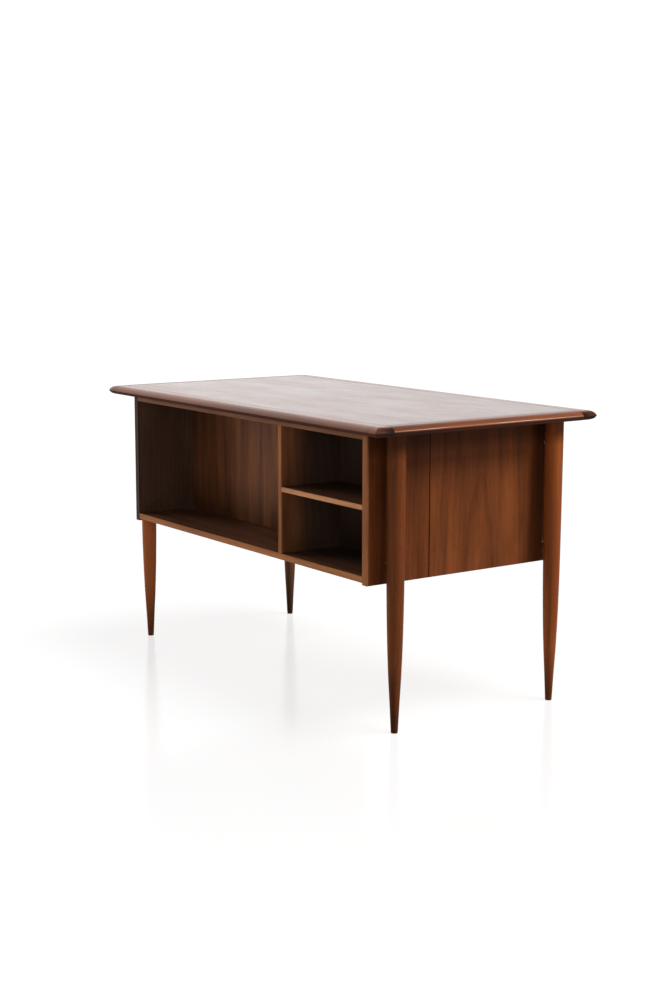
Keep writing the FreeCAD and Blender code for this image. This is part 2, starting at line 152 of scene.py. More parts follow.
# Heights as shares of the leg's length, and growth as shares from foot to top.
LEG_OUTLINE_SHARES = (
    (0.0, 0.0), (0.10, 0.235), (0.205, 0.51), (0.34, 0.73), (0.50, 0.858), (0.75, 0.94), (1.0, 1.0),
)

# Places along a knob as shares of its reach, and growth from its neck to its rim.
KNOB_RIM_SHARE = 0.62
KNOB_FLARE_SHARES = (0.36, 0.3)

# How finely turned outlines are drawn, and how close corners lie that are taken as one.
LINE_STEPS = 6
DOME_STEPS = 10
EASE_SEGMENTS = 4
SHARP_ANGLE = math.radians(40)
WELD = 0.001 * MM
ON_RIM = 0.01 * MM

# The studio is bright on this side of the desk and dim on the other, as what it mirrors shows. The spans
# are metres over the floor and the cosine of the turn from that side round the backdrop.
BRIGHT_SIDE = Vector((0.95, -0.31, 0.0))
BRIGHT_FLOOR_SPAN = Span(-1.0, 4.0)
BRIGHT_BACKDROP_SPAN = Span(0.40, 0.97)
DIM_SHARE = 0.1
WHITE = (1.0, 1.0, 1.0, 1.0)

# The floor's paint mirrors the desk a little, and less over these metres away from it.
FLOOR_ROUGHNESS = 0.15
FLOOR_IOR = 1.45
MIRROR_SHARE = 0.65
MIRROR_SPAN = Span(1.0, 4.0)

# The lamps: the way to each from the desk, the angle its light fills and whether it lights the floor.
# Only the overhead lamp does, so that the desk's shadow stays faint and under it.
Lamp = collections.namedtuple("Lamp", "towards spread lights_floor")
LAMPS = {
    "key": Lamp(Vector((-0.58, -0.55, 0.84)), math.radians(20), False),
    "side": Lamp(Vector((0.85, 0.42, 0.12)), math.radians(40), False),
    "fill": Lamp(Vector((-0.75, 0.65, 0.10)), math.radians(50), False),
    "overhead": Lamp(Vector((-0.32, -0.28, 1.0)), math.radians(32), True),
}


def linear(hex_colour):
    """Linear RGBA of an sRGB hex colour."""
    channels = [int(hex_colour[place:place + 2], 16) / 255 for place in (1, 3, 5)]
    return tuple(c / 12.92 if c <= 0.04045 else ((c + 0.055) / 1.055) ** 2.4 for c in channels) + (1.0,)


def colour(name, description, hex_colour):
    """A colour that the sidebar shows."""
    return FloatVectorProperty(
        name=name, description=description, default=linear(hex_colour),
        subtype="COLOR", size=4, min=0.0, max=1.0,
    )


def length(name, description, metres):
    """A size that the sidebar shows."""
    return FloatProperty(name=name, description=description, default=metres, min=0.0, unit="LENGTH")


def angle(name, description, degrees):
    """An angle that the sidebar shows."""
    return FloatProperty(name=name, description=description, default=math.radians(degrees), subtype="ANGLE")


def strength(name, description, level):
    """The strength of a light that the sidebar shows."""
    return FloatProperty(name=name, description=description, default=level, min=0.0)


class DeskSizes(bpy.types.PropertyGroup):
    """Sizes of the turned pieces, of the strips and joints in the wood, and of its darker places, painted
    shade, painted shadows and painted highlight.
    """

    leg_foot: length("Leg foot", "Diameter of a leg at the floor", 16.5 * MM)
    leg_ease: length("Foot ease", "Rounding of the rim of a foot", 1.2 * MM)
    # The legs are darker towards the foot, up to this height and then fading out.
    foot_darkening: length("Foot stain", "How high the feet have darkened", 25 * MM)
    darkening_fade: length("Stain fade", "Way over which the feet's stain fades out", 125 * MM)
    knob_neck: length("Knob neck", "Diameter of a knob at the drawer front", 13 * MM)
    knob_ease: length("Knob ease", "Rounding of a knob's rim", 0.8 * MM)
    edge_strip: length("Edge strip", "Width of the solid strips on the panels' edges", 4 * MM)
    # Painted shade in the bookcase's bays: the ways over which it fades, and how high it is full at the
    # back's foot.
    bay_shade_fade: length("Bay fade", "How far light has faded the wood into the bookcase's corners", 100 * MM)
    far_fade: length("Far fade", "How far the large bay is darker from its far end", 300 * MM)
    floor_shade: length("Floor shade", "How high the back is darker above the bookcase's bottom", 16 * MM)
    glue_line: length("Glue line", "Width of the dark line between the top's pieces", 1.0 * MM)
    joint_line: length("Joint line", "Width of the dark joint between bookcase and pedestal", 3.0 * MM)
    edge_round: length("Edge round", "From the top down to the widest line of its rounded edge", 13 * MM)
    undercut_fade: length("Undercut fade", "Way over which the undercut of the top's edge darkens", 2 * MM)
    # Cut ends of the top's lippings are darker end grain, deepened as painted shade on the clipped corners.
    end_grain_lap: length("End grain lap", "How far cut ends stay dark past the top's panel", 8 * MM)
    end_grain_fade: length("End grain fade", "Way over which the cut ends grow lighter", 85 * MM)
    # A worn line along the end lippings' edge, painted bright as a highlight:
    worn_glint_depth: length("Worn depth", "From the top down to the line where its edge is worn", 10.5 * MM)
    worn_glint: length("Worn edge", "Width of the line where the finish is rubbed through", 0.5 * MM)
    worn_glint_reach: length("Worn reach", "From the desk's middle to where the worn line starts to fade", 90 * MM)
    worn_glint_fade: length("Worn fade", "Way over which the worn line fades out", 260 * MM)
    # The end lippings are darker towards their rear corners, over this reach.
    corner_darkening_reach: length("Grime reach", "How far the handled corners of the top have darkened", 350 * MM)
    # Reach of the painted shadows behind the front legs and under the overhang, and of the painted shade at
    # the legs' tops.
    shadow_reach: length("Shelter", "How far light has reached the wood behind a leg", 30 * MM)
    lathe_steps: IntProperty(name="Lathe steps", description="Faces round a turned piece", default=72, min=12)


class DeskColours(bpy.types.PropertyGroup):
    """Colours of the woods with their painted shade, shadows and highlight, the metals and the studio."""

    walnut_light: colour("Walnut light", "Early wood of the walnut", "#864822")
    walnut_mid: colour("Walnut", "Body colour of the walnut", "#6A381C")
    walnut_dark: colour("Walnut dark", "Late wood and dark streaks of the walnut", "#351A0E")
    inside_light: colour("Inside light", "Early wood inside the bookcase", "#8A6048")
    inside_mid: colour("Inside", "Body colour inside the bookcase", "#6A4734")
    inside_wall: colour("Inside wall", "Inner faces of the end panels", "#5C4436")
    bookcase_shade: colour("Bookcase shade", "Multiplies the walnut of the bookcase's ends", "#E8E4E0")
    # Painted shade deep in the bookcase's bays, as a darker wood and as a multiple.
    bay_painted_shade: colour("Bay wood", "Walnut deep in the small bays, which light has not faded", "#4E3D32")
    deep_shade: colour("Deep shade", "Multiplies the walnut in the corners of the large bay", "#C4C6C8")
    back_light: colour("Back light", "Early wood of the bookcase's back", "#A8683F")
    back_mid: colour("Back", "Body colour of the bookcase's back", "#70442B")
    glue_line: colour("Glue line", "Multiplies the walnut along its joints", "#58483E")
    solid_light: colour("Solid walnut light", "Early wood of the solid walnut", "#8A4C24")
    solid_mid: colour("Solid walnut", "Body colour of the solid walnut", "#6F391B")
    lipping_light: colour("Lipping light", "Early wood of the top's lippings", "#925435")
    lipping_mid: colour("Lipping", "Body colour of the top's lippings", "#784328")
    # Painted shade under the top's edges.
    undercut: colour("Undercut", "Multiplies the walnut under the top's edges", "#AC9E96")
    # Multiplies the legs' walnut, darker towards the foot.
    foot_darkening: colour("Foot stain", "Multiplies the walnut at the feet", "#A6A3A4")
    edge_strip: colour("Edge strip", "Solid strips on the panels' edges", "#A3653A")
    bottom_strip: colour("Bottom strip", "Solid strip on the edge of the bookcase's bottom", "#B27246")
    # Painted highlight on the worn line of the end lippings.
    worn_glint: colour("Worn edge", "Bare wood where the finish is rubbed through", "#FFECD4")
    # Painted shade under the desk top's overhang dims this strip.
    rail_strip: colour("Rail strip", "Solid strip on the edge of the bookcase's top", "#8A5838")
    shelf_strip: colour("Shelf strip", "Solid strip on the shelf's edge", "#D29264")
    # Painted shade on the edge strip of the right end panel.
    shaded_strip: colour("Shaded strip", "Darkened strip on the right end panel", "#452E24")
    # Darker end grain, deepened as painted shade on the top's clipped corners.
    end_grain: colour("End grain", "Cut ends of solid walnut", "#2A1610")
    # Darkens the end lippings towards their rear corners.
    corner_darkening: colour("Grime", "Multiplies the walnut at the handled corners of the top", "#D6CEC8")
    # Painted shadow of the front legs and the overhang, and painted shade at the legs' tops.
    painted_shadow: colour("Unfaded", "Multiplies the walnut that a leg or the overhang has sheltered", "#C4C0BC")
    oak_light: colour("Oak light", "Early wood of the drawer sides", "#C9A272")
    oak_dark: colour("Oak dark", "Late wood of the drawer sides", "#8F6A3E")
    beech_light: colour("Beech light", "Early wood of the runners", "#C99C6C")
    beech_dark: colour("Beech dark", "Flecks of the runners", "#94673F")
    brass: colour("Brass", "Aged brass of spacers and pins", "#D9C08A")
    steel: colour("Browned steel", "Browned steel of bolts and screws", "#5A4638")
    tarnish: colour("Tarnish", "Dulled patches of the metals", "#2A221A")
    floor: colour("Floor", "Studio floor", "#F6F5F4")


class DeskStage(bpy.types.PropertyGroup):
    """The camera, lamps and floor of the studio."""

    camera_place: FloatVectorProperty(
        name="Camera", description="Where the camera stands", default=(-3.5638, 2.534, 1.1618),
        subtype="TRANSLATION", unit="LENGTH",
    )
    camera_heading: angle("Heading", "Turn of the camera about the upright", -125.349)
    camera_tilt: angle("Tilt", "Tilt of the camera up from looking straight down", 80.801)
    camera_roll: angle("Roll", "Turn of the camera about its line of sight", 0.094)
    camera_lens: FloatProperty(
        name="Lens", description="Focal length of the lens", default=59.70, min=1.0,
        subtype="DISTANCE_CAMERA",
    )
    floor_reach: length("Floor reach", "From the desk to the floor's edge", 30.0)
    key_strength: strength("Key", "Lamp on the left end of the desk", 3.9)
    side_strength: strength("Side", "Lamp on the right end of the desk", 2.5)
    fill_strength: strength("Fill", "Lamp before the bookcase", 0.7)
    overhead_strength: strength("Overhead", "Lamp above the desk", 0.55)
    ambient: strength("Ambient", "Light from all round the studio", 0.06)
    floor_lift: strength("Floor lift", "Raises the floor to white, and keeps the shadows faint", 0.89)
    floor_bounce: strength("Floor bounce", "Light that the floor throws back up on the desk", 0.36)


def add(tree, kind, inputs=None, **settings):
    """Adds a node with its settings. An input is a value, a socket, or a node whose first output is used."""
    node = tree.nodes.new(kind)
    for name, value in settings.items():
        setattr(node, name, value)
    for key, value in (inputs or {}).items():
        named = [socket for socket in node.inputs if socket.identifier == key]
        socket = named[0] if named else node.inputs[key]
        if isinstance(value, bpy.types.Node):
            value = next(output for output in value.outputs if output.enabled)
        if isinstance(value, bpy.types.NodeSocket):
            tree.links.new(value, socket)
        else:
            socket.default_value = value
    return node


def new_material(name):
    """An empty material, and its nodes."""
    material = bpy.data.materials.new(name)
    material.use_nodes = True
    material.node_tree.nodes.clear()
    return material, material.node_tree


def zone_share(tree, split, zone):
    """1 within a zone, and 0 outside it."""
    middle = (zone.low + zone.high) / 2
    aside = add(tree, "ShaderNodeMath", {0: split.outputs[zone.axis], 1: middle}, operation="SUBTRACT")
    far = add(tree, "ShaderNodeMath", {0: aside}, operation="ABSOLUTE")
    half = zone.high - middle
    share = add(tree, "ShaderNodeMapRange", {
        "Value": far, "From Min": half, "From Max": half + zone.fade, "To Min": 1.0, "To Max": 0.0,
    })
    if zone.within:
        outer = zone_share(tree, split, zone.within)
        share = add(tree, "ShaderNodeMath", {0: share, 1: outer}, operation="MULTIPLY")
    return share


def drawn_out(tree, place, width, noise):
    """A pattern of a width across the grain, which is drawn out along the grain."""
    paced = add(tree, "ShaderNodeVectorMath", {0: place, 1: (1, 1, noise.pace)}, operation="MULTIPLY")
    return add(tree, "ShaderNodeTexNoise", {
        "Vector": paced, "Scale": 1 / width, "Detail": noise.detail, "Roughness": noise.roughness,
    })


# What grows in a board: late wood, bands of colour, fine streaks, pores and clouds.
Grain = collections.namedtuple("Grain", "late bands streaks pores clouds")


def grow(tree, split, lay, cut, figure):
    """The grain of a board, as it lies in the log that it was cut from."""
    deep = add(tree, "ShaderNodeMath", {0: split.outputs[lay.through]}, operation="ABSOLUTE")
    board = add(tree, "ShaderNodeCombineXYZ", {
        "X": split.outputs[lay.across], "Y": deep, "Z": split.outputs[lay.along],
    })
    log = add(tree, "ShaderNodeMapping", {
        "Vector": board, "Location": cut.heart, "Rotation": (cut.lean, 0, 0),
    }, vector_type="TEXTURE")

    # Growth rings: the log sways a little over a hand's breadth, so the lines wander.
    sway = drawn_out(tree, log, SWAY_WIDTH, SWAY)
    grown = add(tree, "ShaderNodeVectorMath", {
        0: sway.outputs["Color"], 1: (SWAY_REACH, SWAY_REACH, 0), 2: log,
    }, operation="MULTIPLY_ADD")
    rings = add(tree, "ShaderNodeTexWave", {
        "Vector": grown, "Scale": math.tau / WAVE_PACE / cut.ring,
    }, wave_type="RINGS", rings_direction="Z", wave_profile="SAW")
    late = add(tree, "ShaderNodeMath", {0: rings.outputs["Fac"], 1: LATE_WOOD_POWER}, operation="POWER")

    # Bands of colour two fingers wide, fine streaks and pores follow the lines.
    bands = drawn_out(tree, grown, figure.band_width, BANDS)
    streaks = drawn_out(tree, grown, STREAK_WIDTH, STREAKS)
    speckle = drawn_out(tree, grown, figure.pore_width, PORES)
    pores = add(tree, "ShaderNodeMapRange", {
        "Value": speckle, "From Min": PORE_SPAN.start, "From Max": PORE_SPAN.full,
    })

    # Old boards and their lacquer are never quite flat, which shows as clouds in grazing light.
    clouds = drawn_out(tree, log, CLOUD_WIDTH, CLOUDS)
    return Grain(late, bands, streaks, pores, clouds)


def wood(name, tones, lay, cut, figure, finish, strips=(), shades=(), glints=(), end_grain=None, matts=()):
    """Wood cut from a log: rings, bands, streaks and pores follow the board's own grain.

    strips are zones of another wood, or of wood painted dark as shade, which take the same grain, shades are
    zones that are darkened, for joints or as painted shade and shadows, glints are zones of painted
    highlight, and matts are zones without gloss."""
    material, tree = new_material(name)
    light, mid, dark = tones
    place = add(tree, "ShaderNodeTexCoord")
    split = add(tree, "ShaderNodeSeparateXYZ", {"Vector": place.outputs["Object"]})
    grain = grow(tree, split, lay, cut, figure)

    # Some rings are dark and others hardly show.
    weight = add(tree, "ShaderNodeMapRange", {
        "Value": grain.bands, "From Min": LINE_SPAN.start, "From Max": LINE_SPAN.full,
        "To Min": figure.lines, "To Max": FAINT_LINE_SHARE * figure.lines,
    })
    late_share = add(tree, "ShaderNodeMath", {0: grain.late, 1: weight}, operation="MULTIPLY")
    band_share = add(tree, "ShaderNodeMapRange", {
        "Value": grain.bands, "From Min": BAND_SPAN.start, "From Max": BAND_SPAN.full, "To Max": BAND_SHARE,
    })
    mottle = add(tree, "ShaderNodeMapRange", {
        "Value": grain.clouds, "From Min": CLOUD_SPAN.start, "From Max": CLOUD_SPAN.full,
        "To Max": figure.mottle,
    })
    streak_share = add(tree, "ShaderNodeMapRange", {
        "Value": grain.streaks, "From Min": STREAK_SPAN.start, "From Max": STREAK_SPAN.full,
        "To Max": figure.streaks,
    })
    pore_share = add(tree, "ShaderNodeMath", {0: grain.pores, 1: figure.pores}, operation="MULTIPLY")

    # Each layer of colour: where it shows, its tint and how it blends with what lies below.
    layers = [(band_share, light, "MIX")]
    layers += [(zone_share(tree, split, strip), strip.tint, "MIX") for strip in strips]
    layers += [(share, dark, "MIX") for share in (mottle, streak_share, late_share, pore_share)]
    layers += [(zone_share(tree, split, shade), shade.tint, "MULTIPLY") for shade in shades]
    # Each glint is a painted highlight, shown in patches.
    for glint in glints:
        patches = add(tree, "ShaderNodeMapRange", {
            "Value": grain.clouds, "From Min": GLINT_SPAN.start, "From Max": GLINT_SPAN.full,
            "To Min": LEAST_GLINT_SHARE, "To Max": 1.0,
        })
        glinting = add(tree, "ShaderNodeMath", {
            0: zone_share(tree, split, glint), 1: patches,
        }, operation="MULTIPLY")
        layers.append((glinting, glint.tint, "MIX"))

    # Cut ends drink the finish and go dark; on the top's clipped corners the dark is also painted shade.
    if end_grain:
        facing = add(tree, "ShaderNodeSeparateXYZ", {"Vector": place.outputs["Normal"]})
        square = add(tree, "ShaderNodeMath", {0: facing.outputs[lay.along]}, operation="ABSOLUTE")
        ended = add(tree, "ShaderNodeMapRange", {
            "Value": square, "From Min": END_GRAIN_SPAN.start, "From Max": END_GRAIN_SPAN.full,
        })
        drunk = add(tree, "ShaderNodeMath", {
            0: ended, 1: zone_share(tree, split, end_grain),
        }, operation="MULTIPLY")
        layers.append((drunk, end_grain.tint, "MIX"))
    shown = mid
    for share, tint, blend in layers:
        shown = add(tree, "ShaderNodeMix", {
            "Factor_Float": share, "A_Color": shown, "B_Color": tint,
        }, data_type="RGBA", blend_type=blend)

    # The finish: dull in streaks, wavy like the board, open at the pores, and coated where it has a coat.
    rough = add(tree, "ShaderNodeMapRange", {
        "Value": grain.streaks, "From Min": DULL_SPAN.start, "From Max": DULL_SPAN.full,
        "To Min": finish.smooth, "To Max": finish.dull,
    })
    wave = add(tree, "ShaderNodeBump", {"Height": grain.clouds, "Strength": 1.0, "Distance": finish.waviness})
    relief = add(tree, "ShaderNodeBump", {
        "Height": grain.pores, "Strength": PORE_RELIEF_SHARE, "Distance": PORE_DEPTH, "Normal": wave,
    }, invert=True)
    coat = 0.0
    if finish.whole_coat:
        coat = add(tree, "ShaderNodeMapRange", {
            "Value": grain.clouds, "From Min": COAT_SPAN.start, "From Max": COAT_SPAN.full,
            "To Min": finish.worn_coat, "To Max": finish.whole_coat,
        })
    for matt in matts:
        share = zone_share(tree, split, matt)
        glossy = add(tree, "ShaderNodeMath", {0: 1.0, 1: share}, operation="SUBTRACT")
        rough = add(tree, "ShaderNodeMix", {"Factor_Float": share, "A_Float": rough, "B_Float": 1.0})
        coat = add(tree, "ShaderNodeMath", {0: coat, 1: glossy}, operation="MULTIPLY")
    shader = add(tree, "ShaderNodeBsdfPrincipled", {
        "Base Color": shown, "Roughness": rough, "Normal": relief, "Coat Weight": coat,
        "Coat Roughness": finish.smooth, "Specular IOR Level": finish.specular,
    })
    add(tree, "ShaderNodeOutputMaterial", {"Surface": shader})
    return material


def metal(name, tone, tarnished, patch, smooth, dull, bareness):
    """Turned metal, dulled in patches by age. A film of oxide on it makes it less bare."""
    material, tree = new_material(name)
    place = add(tree, "ShaderNodeTexCoord")
    patches = add(tree, "ShaderNodeTexNoise", {
        "Vector": place.outputs["Object"], "Scale": 1 / patch, "Detail": TARNISH_DETAIL,
    })
    share = add(tree, "ShaderNodeMapRange", {
        "Value": patches, "From Min": TARNISH_SPAN.start, "From Max": TARNISH_SPAN.full,
        "To Max": TARNISH_SHARE,
    })
    shown = add(tree, "ShaderNodeMix", {
        "Factor_Float": share, "A_Color": tone, "B_Color": tarnished,
    }, data_type="RGBA")
    rough = add(tree, "ShaderNodeMapRange", {
        "Value": patches, "From Min": WEAR_SPAN.start, "From Max": WEAR_SPAN.full,
        "To Min": smooth, "To Max": dull,
    })
    shader = add(tree, "ShaderNodeBsdfPrincipled", {
        "Base Color": shown, "Metallic": bareness, "Roughness": rough,
    })
    add(tree, "ShaderNodeOutputMaterial", {"Surface": shader})
    return material


def paint(names, material):
    """Gives CAD nodes their material."""
    for name in names:
        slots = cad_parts[name].data.materials
        slots.clear()
        slots.append(material)


def smooth_line(points):
    """A smooth line through the points, in Bezier spans whose handles are a sixth of the neighbours' way."""
    line = [points[0]]
    last = len(points) - 1
    for place in range(last):
        start, end = points[place], points[place + 1]
        before, after = points[max(place - 1, 0)], points[min(place + 2, last)]
        leaving = start + (end - before) / 6
        arriving = end - (after - start) / 6
        line += interpolate_bezier(start, leaving, arriving, end, LINE_STEPS + 1)[1:]
    return line


def turned(name, outline, foot, axis, steps, eased):
    """A lathe piece: an outline of (radius, 0, along) points spun round its axis from its foot.

    eased is the place in the outline of the rim that is rounded, and the width of that."""
    mesh = bpy.data.meshes.new(name)
    shape = bmesh.new()
    corners = [shape.verts.new(point) for point in outline]
    for start, end in zip(corners, corners[1:]):
        shape.edges.new((start, end))
    bmesh.ops.spin(
        shape, geom=shape.verts[:] + shape.edges[:], cent=(0, 0, 0), axis=(0, 0, 1),
        angle=math.tau, steps=steps, use_merge=True,
    )
    bmesh.ops.remove_doubles(shape, verts=shape.verts[:], dist=WELD)
    place, width = eased
    rim = outline[place]
    edges = [
        edge for edge in shape.edges
        if all(abs(v.co.z - rim.z) < ON_RIM and abs(v.co.xy.length - rim.x) < ON_RIM for v in edge.verts)
    ]
    bmesh.ops.bevel(
        shape, geom=edges, offset=width, offset_type="OFFSET", affect="EDGES",
        segments=EASE_SEGMENTS, profile=0.5, material=-1,
    )
    bmesh.ops.recalc_face_normals(shape, faces=shape.faces[:])
    turn = Vector((0, 0, 1)).rotation_difference(axis).to_matrix().to_4x4()
    bmesh.ops.transform(shape, matrix=Matrix.Translation(foot) @ turn, verts=shape.verts[:])
    for face in shape.faces:
        face.smooth = True
    shape.to_mesh(mesh)
    shape.free()
    mesh.set_sharp_from_angle(angle=SHARP_ANGLE)
    piece = bpy.data.objects.new(name, mesh)
    bpy.context.scene.collection.objects.link(piece)
    return piece


class DESK_OT_finish_top(bpy.types.Operator):
    """Finishes the veneered panel of the desk top and the solid lippings round it"""

    bl_idname = "desk.finish_top"
    bl_label = "Finish the Top"

    def execute(self, context):
        tints = context.scene.desk_colours
        sizes = context.scene.desk_sizes
        tones = (tints.walnut_light, tints.walnut_mid, tints.walnut_dark)
        solid = (tints.lipping_light, tints.lipping_mid, tints.walnut_dark)
        low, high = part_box("top_panel")

        # Dark glue lines round the panel.
        seams = [
            Zone(axis, edge - sizes.glue_line / 2, edge + sizes.glue_line / 2, CRISP, tints.glue_line)
            for axis, edges in (("X", (low.x, high.x)), ("Y", (low.y, high.y))) for edge in edges
        ]

        # A worn line on the ends' edge is painted bright as a highlight, and the ends are darker towards
        # their rear corners.
        half = sizes.worn_glint / 2
        rubbed = high.z - sizes.worn_glint_depth
        handled = Zone("Y", -sizes.worn_glint_reach, sizes.worn_glint_reach, sizes.worn_glint_fade)
        worn = Zone("Z", rubbed - half, rubbed + half, half, tints.worn_glint, handled)
        corner_darkening = Zone("Y", high.y, high.y + sizes.corner_darkening_reach, sizes.corner_darkening_reach, tints.corner_darkening)

        # Cut ends are darkest beside the panel, partly as painted shade on the clipped corners, and below its
        # widest line the edge is dull and carries painted shade.
        lap = sizes.end_grain_lap
        dark_end = Zone("Y", low.y - lap, high.y + lap, sizes.end_grain_fade, tints.end_grain)
        tip = high.z - sizes.edge_round
        undercut = Zone("Z", low.z, tip - sizes.undercut_fade / 2, sizes.undercut_fade, tints.undercut)

        # Lacquered walnut veneer: broad arched figure under a coat that mirrors the room in soft clouds.
        field = wood(
            "walnut_veneer_top", tones, FLAT_LENGTHWAYS,
            Cut(heart=(40 * MM, high.z - 90 * MM, -0.9), lean=math.radians(1.6), ring=14 * MM),
            VENEER_FIGURE, LACQUERED, shades=seams, matts=seams,
        )
        paint(["top_panel"], field)

        # Polished solid walnut: straight lines along a gently shining edge, with dark cut ends and painted
        # shade under the edge.
        long_edges = wood(
            "solid_walnut_long_lipping", solid, FLAT_LENGTHWAYS,
            Cut(heart=(0, high.z - 260 * MM, 0), lean=math.radians(0.6), ring=10 * MM),
            SOLID_FIGURE, POLISHED, shades=seams + [undercut], end_grain=dark_end, matts=seams + [undercut],
        )
        paint(["top_lipping_front", "top_lipping_rear"], long_edges)

        # Handled solid walnut: a duller shine, a worn line painted bright as a highlight, painted shade under
        # the edge, and darker towards the rear corners.
        short_edges = wood(
            "solid_walnut_end_lipping", solid, FLAT_DEEPWAYS,
            Cut(heart=(0, high.z - 300 * MM, 0), lean=math.radians(0.8), ring=10 * MM),
            SOLID_FIGURE, RUBBED, shades=seams + [undercut, corner_darkening], glints=[worn], matts=seams + [undercut],
        )
        paint(["top_lipping_left", "top_lipping_right"], short_edges)
        return {"FINISHED"}


class DESK_OT_finish_carcass(bpy.types.Operator):
    """Veneers the panels of the bookcase and the pedestals"""

    bl_idname = "desk.finish_carcass"
    bl_label = "Finish the Carcass"

    def execute(self, context):
        tints = context.scene.desk_colours
        sizes = context.scene.desk_sizes
        tones = (tints.walnut_light, tints.walnut_mid, tints.walnut_dark)
        inside_tones = (tints.inside_light, tints.inside_mid, tints.walnut_dark)
        back_tones = (tints.back_light, tints.back_mid, tints.walnut_dark)
        low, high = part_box("bookcase_end_left")
        outer, inner = -low.x, -high.x
        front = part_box("pedestal_left_outer_side")[0].y

        # Solid strips on the edges of the panels, and the joint between bookcase and pedestal.
        strip = Zone("Y", high.y - sizes.edge_strip, high.y, CRISP, tints.edge_strip)
        front_strip = Zone("Y", front, front + sizes.edge_strip, CRISP, tints.edge_strip)
        half = sizes.joint_line / 2
        seam = Zone("Y", low.y - half, low.y + half, CRISP, tints.glue_line)

        # The bookcase's ends differ a little from the pedestals outside, and more inside.
        bookcase = Zone("Y", low.y, high.y, CRISP)
        inside = Zone("X", -inner, inner, CRISP, tints.inside_wall, bookcase)
        faded = Zone("Y", low.y, high.y - sizes.edge_strip, CRISP, tints.bookcase_shade)

        # Painted shade deep in the bays: all the back of the small bays, and their floors and the divider's
        # side to them, darkest away from the front.
        back_low, back_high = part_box("bookcase_back")
        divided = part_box("bookcase_divider")[0].x
        rear_face = Zone("Y", back_high.y, back_high.y, CRISP)
        small_bays = Zone("X", back_low.x, divided, CRISP, tints.bay_painted_shade, rear_face)
        deep = Zone("Y", back_high.y, high.y - sizes.bay_shade_fade, sizes.bay_shade_fade, tints.bay_painted_shade)
        bay_floor = deep._replace(within=Zone("X", back_low.x, divided, CRISP))
        bay_face = deep._replace(within=Zone("X", divided, divided, CRISP))

        # Painted shade also darkens the far end of the large bay and the foot of the back.
        far_side = Zone("X", back_high.x, back_high.x, sizes.far_fade, tints.deep_shade, rear_face)
        shaded_to = back_low.z + sizes.floor_shade
        floor_line = Zone("Z", back_low.z, shaded_to, sizes.bay_shade_fade, tints.deep_shade, rear_face)

        # Painted shadows of the front legs and of the overhang darken the outsides of the ends.
        leg_low, leg_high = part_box("leg_front_left")
        leg_shadow = Zone("Y", leg_low.y, leg_high.y, sizes.shadow_reach, tints.painted_shadow)
        overhang_shadow = Zone("Z", high.z - sizes.shadow_reach, high.z, sizes.shadow_reach, tints.painted_shadow)
        outsides = [Zone("X", face, face, CRISP) for face in (-outer, outer)]
        sheltered = [place._replace(within=face) for place in (leg_shadow, overhang_shadow) for face in outsides]

        upright = Cut(heart=(-20 * MM, outer - 48 * MM, low.z), lean=math.radians(4.0), ring=15 * MM)
        lengthways = Cut(heart=(210 * MM, 180 * MM, 0), lean=math.radians(0.7), ring=12 * MM)

        # Oiled walnut veneer on the ends: tall arched figure with little shine, a pale strip on the edge, and
        # painted shadows of the front legs and the overhang.
        ends = wood(
            "walnut_veneer_upright", tones, SIDE_UPRIGHT, upright, VENEER_FIGURE, OILED,
            strips=[inside, strip, front_strip], shades=[seam, faded] + sheltered,
        )
        paint(["bookcase_end_left"], ends)
        paint(["pedestal_%s_%s_side" % (side, face) for side in SIDES for face in ("outer", "inner")], ends)

        # The same veneer on the shaded end: its strip is painted dark as shade, so no line of light edges it.
        shaded = wood(
            "walnut_veneer_shaded_end", tones, SIDE_UPRIGHT, upright, VENEER_FIGURE, OILED,
            strips=[inside, strip._replace(tint=tints.shaded_strip)], shades=[seam],
        )
        paint(["bookcase_end_right"], shaded)

        # Veneer on the divider: lighter, like the back, with brown painted shade on its side to the small
        # bays, darkest deep in the bay.
        divider = wood(
            "walnut_veneer_divider", back_tones, SIDE_UPRIGHT, upright, VENEER_FIGURE, OILED,
            strips=[bay_face, strip],
        )
        paint(["bookcase_divider"], divider)

        # Veneer on bottoms and decks: greyer, with lines along the desk, light strips on its edges and
        # painted shade deep in the small bays.
        flats = wood(
            "walnut_veneer_lengthways", inside_tones, FLAT_LENGTHWAYS, lengthways, VENEER_FIGURE, OILED,
            strips=[bay_floor, strip._replace(tint=tints.bottom_strip), front_strip],
        )
        paint(["bookcase_bottom"], flats)
        paint(["pedestal_%s_%s" % (side, level) for side in SIDES for level in ("bottom", "top")], flats)

        # The same veneer under the desk top: its strip is dimmer as painted shade under the overhang, so the
        # edge sinks into the shade.
        rail = wood(
            "walnut_veneer_rail", inside_tones, FLAT_LENGTHWAYS, lengthways, VENEER_FIGURE, OILED,
            strips=[strip._replace(tint=tints.rail_strip)],
        )
        paint(["bookcase_top"], rail)

        # The same veneer on the shelf: its strip is the palest, a bright line across the small bays, with
        # painted shade deep in them.
        shelf = wood(
            "walnut_veneer_shelf", inside_tones, FLAT_LENGTHWAYS, lengthways, VENEER_FIGURE, OILED,
            strips=[bay_floor, strip._replace(tint=tints.shelf_strip)],
        )
        paint(["bookcase_shelf"], shelf)

        # Waxed veneer on the back: warm and faintly figured, with no hard shine, and painted shade in the
        # small bays, at the far end of the large bay and along its foot.
        back = wood(
            "walnut_veneer_back", back_tones, BACK_UPRIGHT,
            Cut(heart=(80 * MM, back_high.y - 55 * MM, 360 * MM), lean=math.radians(3.5), ring=15 * MM),
            BACK_FIGURE, WAXED, strips=[small_bays], shades=[far_side, floor_line],
        )
        paint(["bookcase_back"], back)
        return {"FINISHED"}


